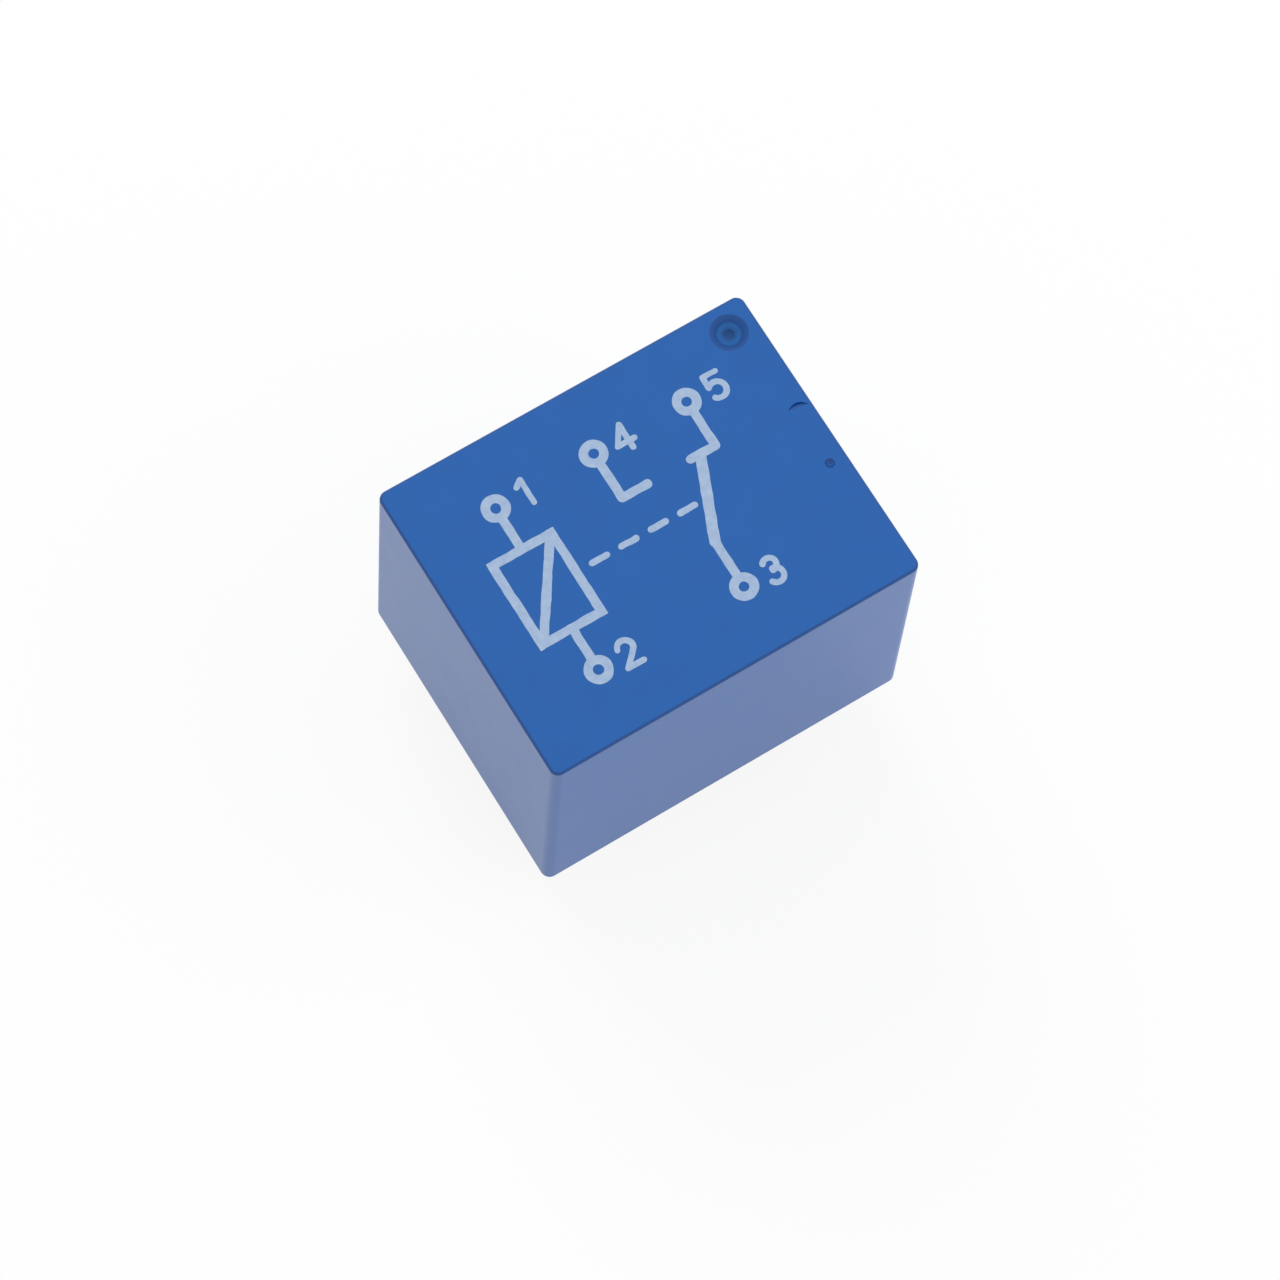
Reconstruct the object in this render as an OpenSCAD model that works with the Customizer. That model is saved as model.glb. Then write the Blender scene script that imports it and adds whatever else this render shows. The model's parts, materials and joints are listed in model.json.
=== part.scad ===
// Sealed changeover power relay for a printed circuit board. All sizes are in mm.
// The rim of the case lies at z = 0, the pins point down, the hinge end is -x, the contact end +x.

/* [Case] */
// Width of the case at its rim
case_w = 15.5; // [15:0.1:17]
// Height of the case from its rim to its top
case_h = 15; // [14:0.1:17]
// Wall thickness of the sides, at their top
case_wall = 0.75; // [0.65:0.05:0.85]
// Wall thickness of the top
case_roof = 0.75; // [0.6:0.05:1]
// How far each side leans in between the rim and the top
case_draft = 0.25; // [0.1:0.05:0.3]
// Radius of the upright corners at the rim
corner_r = 0.5; // [0.5:0.05:0.9]
// Radius of the rounding around the top
top_edge_r = 0.15; // [0.1:0.05:0.2]
// Radius of the upright corners inside the case
inside_r = 0.5; // [0.3:0.05:0.7]

/* [Marks in the top] */
// Diameter of the vent dish
vent_d = 1.8; // [1.4:0.1:2]
// Depth of the vent dish
vent_depth = 0.22; // [0.16:0.02:0.4]
// Distance of the vent dish from the contact end
vent_in_x = 1.65; // [1.5:0.05:2.5]
// Distance of the vent dish from the long side
vent_in_y = 1.62; // [1.5:0.05:2.5]
// Diameter of the closed vent hole in the dish
eye_d = 0.5; // [0.3:0.02:0.6]
// Depth of the closed vent hole
eye_depth = 0.12; // [0.05:0.01:0.2]
// Radius of the half-moon mark
dent_r = 0.6; // [0.4:0.05:0.8]
// Width of the half-moon mark
dent_w = 0.25; // [0.15:0.01:0.35]
// Slope of the half-moon mark's floor
dent_slope = 20; // [10:1:40]
// Turn of the half-moon mark in the top
dent_turn = -9; // [-20:1:20]
// Distance of the half-moon mark from the contact end
dent_in = 0.92; // [0.85:0.01:1.5]
// Place of the half-moon mark across the top
dent_y = 1.53; // [0:0.01:3]
// Diameter of the small pit
pit_d = 0.45; // [0.2:0.05:0.5]
// Depth of the small pit
pit_depth = 0.12; // [0.05:0.01:0.2]
// Distance of the small pit from the contact end
pit_in = 1.12; // [0.9:0.01:1.5]
// Place of the small pit across the top
pit_y = -1.37; // [-3:0.01:-0.5]

/* [Base and seal] */
// Thickness of the base plate
base_t = 1.2; // [1:0.1:1.5]
// Clearance around the base plate in the rim
base_fit = 0.05; // [0.02:0.01:0.1]
// Width of the ledge in the case that the base stops against
seat_ledge = 0.25; // [0.2:0.05:0.35]
// How far the resin lies inside the rim
seal_sink = 0.25; // [0.2:0.05:0.4]
// Thickness of the resin
seal_t = 0.45; // [0.3:0.05:0.7]
// Height of the resin fillet around each pin
seal_rise = 0.15; // [0.05:0.05:0.2]
// Width of the resin fillet around each pin
seal_fillet = 0.3; // [0.2:0.05:0.4]
// Height of the posts that hold the contact terminals
post_h = 3; // [2:0.1:5]
// Wall thickness of the posts beside and behind the terminals
post_wall = 0.6; // [0.4:0.05:0.8]
// Thickness of the barrier between coil and contacts
barrier_t = 0.6; // [0.5:0.05:0.8]
// Width of the rails beside the yoke
rail_w = 0.8; // [0.5:0.05:1]
// Distance from the barrier's top to the lower contact
barrier_gap = 0.3; // [0.2:0.05:1]

/* [Terminals] */
// Length of the pins below the rim
pin_len = 3.5; // [2.5:0.1:5]
// Width of the contact blades
blade_w = 1; // [0.8:0.05:1.2]
// Thickness of the contact strips
blade_t = 0.4; // [0.3:0.02:0.46]
// Length of the tapered pin tips
tip_len = 0.5; // [0.3:0.05:0.8]
// Diameter of the coil pins
coil_pin_d = 0.6; // [0.5:0.02:0.7]
// Diameter of the collar on each coil pin
collar_d = 1; // [0.94:0.02:1.1]
// Height of the wire post of a coil pin
wire_post_h = 1.2; // [1:0.1:1.6]
// Gap between the common strip and the case
com_gap = 0.1; // [0.05:0.01:0.15]
// Distance from the common pin to the coil pins along the case
com_to_coil = 2; // [1.9:0.05:2.2]
// Gap between the contact strips and the contact end of the case
end_gap = 1.2; // [1:0.05:2]
// Gap between the contact strips and the long sides of the case
side_gap = 0.55; // [0.5:0.05:0.7]
// Inside radius of the bends in the contact strips
strip_bend_r = 0.4; // [0.2:0.05:0.8]
// Clearance around the strips in the base
slot_fit = 0.05; // [0.03:0.01:0.08]
// Width of the contact strips above the base
arm_w = 3; // [2.6:0.1:3.2]
// Width of the tab on the yoke
tab_w = 5.4; // [5.2:0.1:6]
// Height of the tab on the yoke
tab_h = 2.8; // [2.4:0.1:3.4]
// Width of the common strip under its tab
neck_w = 2.4; // [1.6:0.1:3]
// Height over which the common strip steps out
step_h = 0.8; // [0.5:0.1:1.5]

/* [Magnet] */
// Thickness of the yoke
iron_t = 1.2; // [1:0.05:1.3]
// Width of the yoke
yoke_w = 9; // [8.6:0.1:9.4]
// Reach of the yoke past the core's axis
yoke_reach = 3; // [2:0.1:4]
// Width of the ears on the yoke
ear_w = 1.2; // [0.8:0.05:1.4]
// Height of the ears on the yoke
ear_h = 0.8; // [0.5:0.05:0.9]
// Diameter of the core
core_d = 3.2; // [2.8:0.1:3.8]
// Diameter of the core's tail in the yoke
tail_d = 2.4; // [1.6:0.1:2.6]
// Diameter of the pole face
pole_d = 6; // [5:0.1:7]
// Thickness of the pole face
pole_t = 0.7; // [0.5:0.05:1]
// Bevel around the pole face
pole_edge = 0.1; // [0.05:0.01:0.2]
// Thickness of the armature
armature_t = 1; // [0.8:0.05:1.2]
// Width of the armature
armature_w = 9; // [8:0.1:9.6]
// Corner radius of the armature's front edge
front_r = 1; // [0.5:0.1:2]
// Gap between the closed armature and the pole
rest_gap = 0.05; // [0.03:0.01:0.1]
// Gap between the armature's front edge and the contact strips
front_gap = 0.6; // [0.4:0.05:1]
// Diameter of the staked bosses
boss_d = 1.2; // [0.8:0.05:1.3]
// Diameter of the staked heads
boss_head_d = 1.9; // [1.6:0.05:2.1]
// Height of the staked heads
boss_head = 0.3; // [0.2:0.05:0.35]
// Distance between two staked bosses
boss_spacing = 3.2; // [2.8:0.1:3.4]
// Depth of the pressed dimple behind each staked boss
dimple = 0.4; // [0.2:0.05:0.5]
// Distance from the pivot down to the yoke's bosses
boss_drop = 3.6; // [3.2:0.1:4.2]
// Distance from the pivot to the armature's bosses
boss_run = 6; // [4:0.1:7]
// Gap between the staked heads and the case
boss_gap = 0.15; // [0.1:0.01:0.2]

/* [Coil] */
// Diameter of the winding
winding_d = 9.1; // [8:0.1:10.4]
// Thickness of the bobbin's flanges
flange_t = 0.8; // [0.6:0.05:1]
// Corner radius of the bobbin's flanges
flange_r = 1; // [0.5:0.1:2]
// How far the flanges stand out past the winding
flange_lip = 0.35; // [0.2:0.05:0.6]
// Wall thickness of the bobbin's barrel
barrel_wall = 0.6; // [0.4:0.05:0.9]
// Gap between the flanges and the parts beside them
coil_gap = 0.1; // [0.05:0.01:0.15]
// Gap between the pin blocks of the bobbin and the case
block_gap = 0.1; // [0.05:0.01:0.15]
// Length of the pin blocks behind the coil pins
block_back = 0.8; // [0.6:0.05:1]
// Length of the pin blocks in front of the coil pins
block_front = 2.4; // [1.5:0.1:3]
// Diameter of the wire ends
wire_d = 0.2; // [0.14:0.02:0.24]
// Radius of the solder caps
solder_r = 0.5; // [0.42:0.02:0.6]

/* [Contacts and spring] */
// Diameter of the contact heads
contact_d = 2.4; // [2:0.1:2.6]
// Height of the fixed contact heads
contact_head = 0.5; // [0.4:0.05:0.6]
// Height of the moving contact heads
moving_head = 0.42; // [0.35:0.01:0.5]
// Height of the dome on each contact
dome_h = 0.12; // [0.1:0.01:0.15]
// Diameter of the rivet shanks
shank_d = 1.2; // [0.8:0.1:1.3]
// Diameter of the rivet tails
rivet_tail_d = 1.7; // [1.5:0.1:2]
// Height of the rivet tails
rivet_tail = 0.15; // [0.1:0.01:0.2]
// Stroke of the moving contact
contact_gap = 0.7; // [0.4:0.05:0.9]
// Air left between touching contacts
contact_clear = 0.03; // [0.02:0.01:0.05]
// Air left under the case's top
roof_gap = 0.15; // [0.1:0.01:0.3]
// Thickness of the leaf spring
spring_t = 0.15; // [0.1:0.01:0.2]
// Width of the leaf spring on the armature
spring_w = 6; // [5.6:0.1:6]
// Width of the leaf spring at its contact
spring_tip_w = 3; // [2.6:0.1:3.2]
// Length of the spring's leg on the yoke
spring_leg = 5.6; // [5.2:0.1:6.4]
// Inside radius of the spring's bend
spring_bend_r = 0.3; // [0.2:0.02:0.35]
// Width of the window in the spring's bend
window_w = 2.6; // [1.5:0.1:3.4]
// Length of the window along each leg of the spring
window_run = 1.1; // [0.8:0.1:1.6]
// Clearance of rivets and bosses in their holes
hole_fit = 0.03; // [0.02:0.01:0.05]

/* [Hidden] */
$fn = 64;
eps = 0.01;
past = 1;
arc_steps = 6;

flange_l = winding_d + 2 * flange_lip;
hinge_stack = boss_gap + boss_head + blade_t + spring_t + iron_t + coil_gap;
contact_stack = coil_gap + barrier_t + 2 * coil_gap + arm_w + end_gap;
inner_l = hinge_stack + flange_l + contact_stack;
case_l = inner_l + 2 * (case_draft + case_wall);
inner_w = case_w - 2 * (case_draft + case_wall);
pocket_l = inner_l + 2 * seat_ledge;
pocket_w = inner_w + 2 * seat_ledge;
ceiling_z = case_h - case_roof;
lean = atan(case_draft / case_h);

base_z0 = seal_sink + seal_t;
base_z1 = base_z0 + base_t;

com_x = -inner_l / 2 + com_gap + blade_t / 2;
coil_pin_x = com_x + com_to_coil;
contact_x = inner_l / 2 - end_gap - arm_w / 2;
pin_y = inner_w / 2 - side_gap - blade_t / 2;

yoke_x0 = -inner_l / 2 + boss_gap + boss_head + blade_t + spring_t;
yoke_x1 = yoke_x0 + iron_t;
tab_x0 = yoke_x0 - spring_t - blade_t;
barrier_x1 = contact_x - arm_w / 2 - 2 * coil_gap;
barrier_x0 = barrier_x1 - barrier_t;
flange_x0 = yoke_x1 + coil_gap;
flange_x1 = flange_x0 + flange_l;
coil_x = flange_x0 + flange_l / 2;
bore_d = core_d + 2 * hole_fit;
barrel_d = bore_d + 2 * barrel_wall;

arm_run = contact_x - yoke_x0;
open_deg = asin(contact_gap / arm_run);
dome_r = (contact_d * contact_d / 4 + dome_h * dome_h) / (2 * dome_h);
top_of_moving = rest_gap + armature_t + spring_t + moving_head;
reach_open = contact_gap + top_of_moving * cos(open_deg) + dome_r * (1 - cos(open_deg));
nc_arm_z1 = ceiling_z - roof_gap - rivet_tail;
nc_arm_z0 = nc_arm_z1 - blade_t;
pole_z = nc_arm_z0 - contact_head - contact_clear - reach_open;
armature_z0 = pole_z + rest_gap;
armature_z1 = armature_z0 + armature_t;
no_arm_z1 = armature_z1 - moving_head - contact_clear - contact_head;
no_arm_z0 = no_arm_z1 - blade_t;
armature_x1 = contact_x - arm_w / 2 - front_gap;

flange_z0 = base_z1 + iron_t;
block_z1 = flange_z0 + flange_t;
flange_z1 = pole_z - pole_t - hole_fit;
block_y0 = yoke_w / 2 + 2 * coil_gap;
block_y1 = inner_w / 2 - block_gap;
post_y0 = pin_y - blade_t / 2 - slot_fit - post_wall;
wrap_r = coil_pin_d / 2 + hole_fit + wire_d / 2;
wrap_step = 0.8 * wire_d;
wrap_z = block_z1 + hole_fit + wire_d / 2;
solder_z = wrap_z + 2 * wrap_step + wire_d / 2 + hole_fit;
wire_post_z = max(block_z1 + wire_post_h, solder_z + eps);
boss_x = yoke_x0 + boss_run;
boss_z = pole_z - boss_drop;

// Flat outline with round corners, around the origin
module rounded_rect(l, w, r) {
    square([l - 2 * r, w], center = true);
    square([l, w - 2 * r], center = true);
    for (sx = [-1, 1], sy = [-1, 1])
        translate([sx * (l / 2 - r), sy * (w / 2 - r)])
            circle(r);
}

// Outline drawn in x and z, made w wide across the relay
module along_y(w) {
    rotate([90, 0, 0])
        linear_extrude(height = w, center = true)
            children();
}

// Outline drawn in y and z, made w long along the relay
module along_x(w) {
    rotate([90, 0, 90])
        linear_extrude(height = w, center = true)
            children();
}

// Length to the nearest 0.0001 mm, so that faces drawn from one list meet edge to edge
function snap(v) = round(v * 10000) / 10000;

// Inset and height of the points along a wall of the case, from the end of its slope over the rounding to the top
wall_line = let (
        zc = case_h - top_edge_r,
        inset = zc * tan(lean) + top_edge_r / cos(lean)
    ) [for (i = [0 : arc_steps])
        let (t = lean + (90 - lean) * i / arc_steps)
        [snap(inset - top_edge_r * cos(t)), snap(zc + top_edge_r * sin(t))]];

// Half section of the case's outside, from its axis to a wall that starts at distance reach
function wall_section(reach) = concat(
    [[0, 0], [reach, 0]],
    [for (p = wall_line) [reach - p[0], p[1]]],
    [[0, case_h]]
);

// Outside of the case as one solid
module case_body() {
    for (s = [0, 1])
        mirror([s, 0, 0])
            along_y(case_w - 2 * corner_r)
                polygon(wall_section(case_l / 2));
    for (s = [0, 1])
        mirror([0, s, 0])
            along_x(case_l - 2 * corner_r)
                polygon(wall_section(case_w / 2));
    for (sx = [-1, 1], sy = [-1, 1])
        translate([sx * (case_l / 2 - corner_r), sy * (case_w / 2 - corner_r), 0])
            rotate_extrude()
                polygon(wall_section(corner_r));
}

// Ball that leaves a round hollow of diameter d and the given depth in a face at z = 0
module hollow(d, depth) {
    ball_r = (d * d / 4 + depth * depth) / (2 * depth);
    translate([0, 0, ball_r - depth])
        sphere(ball_r);
}

// Dish of the vent, with the closed vent hole in its middle
module vent_cut() {
    translate([case_l / 2 - vent_in_x, case_w / 2 - vent_in_y, case_h]) {
        hollow(vent_d, vent_depth);
        translate([0, 0, -vent_depth])
            hollow(eye_d, eye_depth);
    }
}

// Half-moon left by a moulding pin: its floor runs down from a chord to a round step
module dent_cut() {
    translate([case_l / 2 - dent_in, dent_y, case_h])
        rotate([0, 0, dent_turn])
            rotate([-dent_slope, 0, 0])
                translate([0, dent_w - dent_r, 0])
                    cylinder(h = past, r = dent_r);
}

module case() {
    color("RoyalBlue")
        difference() {
            case_body();
            translate([0, 0, base_z1 - eps])
                linear_extrude(height = ceiling_z - base_z1 + eps)
                    rounded_rect(inner_l, inner_w, inside_r);
            translate([0, 0, -past])
                linear_extrude(height = base_z1 + past)
                    rounded_rect(pocket_l, pocket_w, inside_r);
            vent_cut();
            dent_cut();
            translate([case_l / 2 - pit_in, pit_y, case_h])
                hollow(pit_d, pit_depth);
        }
}

// Openings for the five pins, each grown by gap
module pin_openings(gap) {
    translate([com_x, 0])
        square([blade_t + 2 * gap, blade_w + 2 * gap], center = true);
    for (s = [-1, 1]) {
        translate([contact_x, s * pin_y])
            square([blade_w + 2 * gap, blade_t + 2 * gap], center = true);
        translate([coil_pin_x, s * pin_y])
            circle(d = collar_d + 2 * gap);
    }
}

// Post with a slot that holds the foot of one contact terminal
module terminal_post() {
    w = arm_w + 2 * slot_fit;
    difference() {
        translate([contact_x - w / 2 - post_wall, post_y0, base_z1 - eps])
            cube([w + 2 * post_wall, block_y1 - post_y0, post_h + eps]);
        translate([contact_x - w / 2, post_y0 + post_wall, base_z1])
            cube([w, blade_t + 2 * slot_fit, post_h + past]);
    }
}

module base() {
    rail_x0 = coil_pin_x + block_front + 2 * coil_gap;
    rail_y0 = yoke_w / 2 + coil_gap;
    barrier_w = 2 * post_y0 + post_wall;
    barrier_h = no_arm_z0 - rivet_tail - barrier_gap - base_z1;
    color("DimGray")
        difference() {
            union() {
                translate([0, 0, base_z0])
                    linear_extrude(height = base_t)
                        rounded_rect(pocket_l - 2 * base_fit, pocket_w - 2 * base_fit, inside_r - base_fit);
                for (s = [0, 1])
                    mirror([0, s, 0]) {
                        terminal_post();
                        translate([rail_x0, rail_y0, base_z1 - eps])
                            cube([flange_x1 - rail_x0, rail_w, iron_t + eps]);
                    }
                translate([barrier_x0, -barrier_w / 2, base_z1 - eps])
                    cube([barrier_t, barrier_w, barrier_h + eps]);
            }
            translate([0, 0, base_z0 - past])
                linear_extrude(height = base_t + 2 * past)
                    pin_openings(slot_fit);
            translate([coil_x, 0, base_z1 - boss_head - 2 * slot_fit])
                cylinder(h = boss_head + 2 * slot_fit + eps, d = core_d + 4 * slot_fit);
        }
}

// Fillet of resin that creeps down around one pin of radius r
module seal_fillet_at(x, y, r) {
    translate([x, y, seal_sink - seal_rise])
        cylinder(h = seal_rise + eps, r1 = r + 2 * eps, r2 = r + seal_fillet);
}

module sealant() {
    color("Black")
        difference() {
            union() {
                translate([0, 0, seal_sink])
                    linear_extrude(height = seal_t)
                        rounded_rect(pocket_l - 2 * eps, pocket_w - 2 * eps, inside_r - eps);
                seal_fillet_at(com_x, 0, blade_t / 2);
                for (s = [-1, 1]) {
                    seal_fillet_at(contact_x, s * pin_y, blade_w / 2);
                    seal_fillet_at(coil_pin_x, s * pin_y, collar_d / 2);
                }
            }
            translate([0, 0, -past])
                linear_extrude(height = base_z0 + 2 * past)
                    pin_openings(eps);
        }
}

module bobbin() {
    color("SeaGreen")
        difference() {
            union() {
                for (z = [flange_z0, flange_z1 - flange_t])
                    translate([coil_x, 0, z])
                        linear_extrude(height = flange_t)
                            rounded_rect(flange_l, flange_l, flange_r);
                translate([coil_x, 0, flange_z0])
                    cylinder(h = flange_z1 - flange_z0, d = barrel_d);
                for (s = [0, 1])
                    mirror([0, s, 0]) {
                        translate([coil_pin_x - block_back, block_y0, base_z1])
                            cube([block_back + block_front, block_y1 - block_y0, block_z1 - base_z1]);
                        translate([flange_x0, 0, flange_z0])
                            cube([coil_pin_x + block_front - flange_x0, block_y1, flange_t]);
                    }
            }
            translate([coil_x, 0, flange_z0 - past])
                cylinder(h = flange_z1 - flange_z0 + 2 * past, d = bore_d);
            for (s = [-1, 1])
                translate([coil_pin_x, s * pin_y, base_z1 - past])
                    cylinder(h = block_z1 - base_z1 + 2 * past, d = coil_pin_d + 2 * eps);
        }
}

// Wire end from the winding to one coil pin, with its turns around the pin
module wire_end() {
    turn = atan2(pin_y, coil_pin_x - coil_x);
    start = winding_d / 2 - wire_d;
    reach = norm([coil_pin_x - coil_x, pin_y]) - wrap_r;
    translate([coil_x, 0, wrap_z + wrap_step])
        rotate([0, 90, turn])
            translate([0, 0, start])
                cylinder(h = reach - start, d = wire_d);
    for (i = [0 : 2])
        translate([coil_pin_x, pin_y, wrap_z + i * wrap_step])
            rotate_extrude()
                translate([wrap_r, 0])
                    circle(d = wire_d, $fn = 24);
}

module winding() {
    z0 = flange_z0 + flange_t + eps;
    z1 = flange_z1 - flange_t - eps;
    color("Chocolate") {
        translate([coil_x, 0, z0])
            difference() {
                cylinder(h = z1 - z0, d = winding_d);
                translate([0, 0, -past])
                    cylinder(h = z1 - z0 + 2 * past, d = barrel_d + 2 * eps);
            }
        for (s = [0, 1])
            mirror([0, s, 0])
                wire_end();
    }
}

// Turned profile of the core, from its staked tail to its pole face
module core() {
    color("Silver")
        translate([coil_x, 0, 0])
            rotate_extrude()
                polygon([[0, base_z1 - boss_head], [core_d / 2, base_z1 - boss_head], [core_d / 2, base_z1],
                    [tail_d / 2, base_z1], [tail_d / 2, flange_z0], [core_d / 2, flange_z0],
                    [core_d / 2, pole_z - pole_t], [pole_d / 2, pole_z - pole_t],
                    [pole_d / 2, pole_z - pole_edge], [pole_d / 2 - pole_edge, pole_z], [0, pole_z]]);
}

// Square with a round cut out of it: takes the edge off a corner at the origin that opens to +x and +y
module corner_cut(r) {
    difference() {
        translate([-eps, -eps])
            square(r + eps);
        translate([r, r])
            circle(r);
    }
}

module yoke() {
    color("LightSlateGray")
        difference() {
            union() {
                along_y(yoke_w)
                    difference() {
                        union() {
                            translate([yoke_x0, base_z1])
                                square([coil_x + yoke_reach - yoke_x0, iron_t]);
                            translate([yoke_x0, base_z1])
                                square([iron_t, pole_z - base_z1]);
                        }
                        translate([yoke_x0, base_z1])
                            corner_cut(iron_t);
                    }
                for (s = [-1, 1]) {
                    translate([yoke_x0, s * (yoke_w - ear_w) / 2 - ear_w / 2, pole_z - eps])
                        cube([iron_t, ear_w, ear_h + eps]);
                    translate([yoke_x0 + eps, s * boss_spacing / 2, boss_z])
                        rotate([0, -90, 0]) {
                            cylinder(h = spring_t + blade_t + 2 * eps, d = boss_d);
                            translate([0, 0, spring_t + blade_t + eps])
                                cylinder(h = boss_head, d = boss_head_d);
                        }
                }
            }
            translate([coil_x, 0, base_z1 - past])
                cylinder(h = iron_t + 2 * past, d = tail_d + 2 * hole_fit);
            for (s = [-1, 1])
                translate([yoke_x1 + eps, s * boss_spacing / 2, boss_z])
                    rotate([0, -90, 0])
                        cylinder(h = dimple + eps, d = boss_d);
        }
}

// Outline of a pin blade that ends at z = -pin_len, with its top at z1
module blade_outline(z1) {
    polygon([[-blade_w / 2, z1], [-blade_w / 2, tip_len - pin_len], [-blade_w / 4, -pin_len],
        [blade_w / 4, -pin_len], [blade_w / 2, tip_len - pin_len], [blade_w / 2, z1]]);
}

module com_terminal() {
    tab_z0 = boss_z - tab_h / 2;
    pin_x0 = com_x - blade_t / 2;
    color("Goldenrod") {
        difference() {
            translate([tab_x0, -tab_w / 2, tab_z0])
                cube([blade_t, tab_w, tab_h]);
            for (s = [-1, 1])
                translate([tab_x0 - past, s * boss_spacing / 2, boss_z])
                    rotate([0, 90, 0])
                        cylinder(h = blade_t + 2 * past, d = boss_d + 2 * hole_fit);
        }
        along_y(neck_w)
            polygon([[tab_x0, tab_z0 + eps], [tab_x0 + blade_t, tab_z0 + eps], [tab_x0 + blade_t, tab_z0],
                [pin_x0 + blade_t, tab_z0 - step_h], [pin_x0 + blade_t, base_z1], [pin_x0, base_z1],
                [pin_x0, tab_z0 - step_h], [tab_x0, tab_z0]]);
        translate([com_x, 0, 0])
            along_x(blade_t)
                blade_outline(base_z1 + eps);
    }
}

// Contact strip on the -y side: foot, upright leg, bend and arm with its top at z1
module contact_strip(z1) {
    y0 = -pin_y - blade_t / 2;
    difference() {
        union() {
            translate([contact_x, 0, 0])
                along_x(arm_w) {
                    difference() {
                        union() {
                            translate([y0, base_z1])
                                square([blade_t, z1 - base_z1]);
                            translate([y0, z1 - blade_t])
                                square([-y0, blade_t]);
                        }
                        translate([y0, z1])
                            mirror([0, 1])
                                corner_cut(blade_t + strip_bend_r);
                    }
                    translate([y0 + blade_t, z1 - blade_t])
                        mirror([0, 1])
                            corner_cut(strip_bend_r);
                }
            translate([contact_x, 0, z1 - blade_t])
                cylinder(h = blade_t, d = arm_w);
        }
        translate([contact_x, 0, z1 - blade_t - past])
            cylinder(h = blade_t + 2 * past, d = shank_d + 2 * hole_fit);
    }
    translate([contact_x, -pin_y, 0])
        along_y(blade_t)
            blade_outline(base_z1 + eps);
}

module no_terminal() {
    color("Goldenrod")
        contact_strip(no_arm_z1);
}

module nc_terminal() {
    color("Goldenrod")
        mirror([0, 1, 0])
            contact_strip(nc_arm_z1);
}

// Domed contact head that stands on z = 0
module contact_button(h) {
    intersection() {
        cylinder(h = h, d = contact_d);
        translate([0, 0, h - dome_r])
            sphere(dome_r, $fn = 256);
    }
}

// Fixed contact rivet: head on z = 0, shank through the strip, tail under it
module contact_rivet() {
    contact_button(contact_head);
    translate([0, 0, -blade_t - eps])
        cylinder(h = blade_t + 2 * eps, d = shank_d);
    translate([0, 0, -blade_t - rivet_tail])
        cylinder(h = rivet_tail, d = rivet_tail_d);
}

module no_contact() {
    color("Silver")
        translate([contact_x, 0, no_arm_z1])
            contact_rivet();
}

module nc_contact() {
    color("Silver")
        translate([contact_x, 0, nc_arm_z0])
            mirror([0, 0, 1])
                contact_rivet();
}

// Turned profile of a coil pin: tapered tip, free end, collar in the base, and the post for the wire
module coil_pin() {
    color("Gainsboro")
        translate([coil_pin_x, pin_y, 0])
            rotate_extrude()
                polygon([[0, -pin_len], [coil_pin_d / 4, -pin_len], [coil_pin_d / 2, tip_len - pin_len],
                    [coil_pin_d / 2, 0], [collar_d / 2, 0], [collar_d / 2, base_z1],
                    [coil_pin_d / 2, base_z1], [coil_pin_d / 2, wire_post_z], [0, wire_post_z]]);
}

module coil_pin_a() {
    coil_pin();
}

module coil_pin_b() {
    mirror([0, 1, 0])
        coil_pin();
}

module coil_solder() {
    color("DarkGray")
        translate([coil_pin_x, pin_y, 0])
            difference() {
                translate([0, 0, solder_z])
                    intersection() {
                        sphere(wire_post_z - solder_z + solder_r / 2);
                        cylinder(h = wire_post_h + past, r = solder_r);
                    }
                cylinder(h = wire_post_z + eps, d = coil_pin_d + 2 * eps);
            }
}

module coil_solder_a() {
    coil_solder();
}

module coil_solder_b() {
    mirror([0, 1, 0])
        coil_solder();
}

// Turns parts drawn with the armature closed into its open rest position
module opened() {
    translate([yoke_x0, 0, pole_z])
        rotate([0, -open_deg, 0])
            translate([-yoke_x0, 0, -pole_z])
                children();
}

module armature_plate() {
    rear_x = yoke_x0 + rest_gap;
    rear_r = spring_bend_r + rest_gap;
    notch_y = yoke_w / 2 - ear_w - 2 * coil_gap;
    color("LightSteelBlue")
        opened()
            difference() {
                union() {
                    translate([0, 0, armature_z0])
                        linear_extrude(height = armature_t) {
                            translate([rear_x, -armature_w / 2])
                                square([armature_x1 - front_r - rear_x, armature_w]);
                            translate([armature_x1 - 2 * front_r, -armature_w / 2 + front_r])
                                square([2 * front_r, armature_w - 2 * front_r]);
                            for (s = [-1, 1])
                                translate([armature_x1 - front_r, s * (armature_w / 2 - front_r)])
                                    circle(front_r);
                        }
                    for (s = [-1, 1])
                        translate([boss_x, s * boss_spacing / 2, armature_z1 - eps]) {
                            cylinder(h = spring_t + 2 * eps, d = boss_d);
                            translate([0, 0, spring_t + eps])
                                cylinder(h = boss_head, d = boss_head_d);
                        }
                }
                for (s = [0, 1])
                    mirror([0, s, 0])
                        translate([rear_x - past, notch_y, armature_z0 - past])
                            cube([yoke_x1 + 2 * coil_gap - rear_x + past, armature_w, armature_t + 2 * past]);
                along_y(armature_w + past)
                    translate([rear_x, armature_z1])
                        mirror([0, 1])
                            corner_cut(rear_r);
                for (s = [-1, 1])
                    translate([boss_x, s * boss_spacing / 2, armature_z0 - eps])
                        cylinder(h = dimple + eps, d = boss_d);
            }
}

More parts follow.
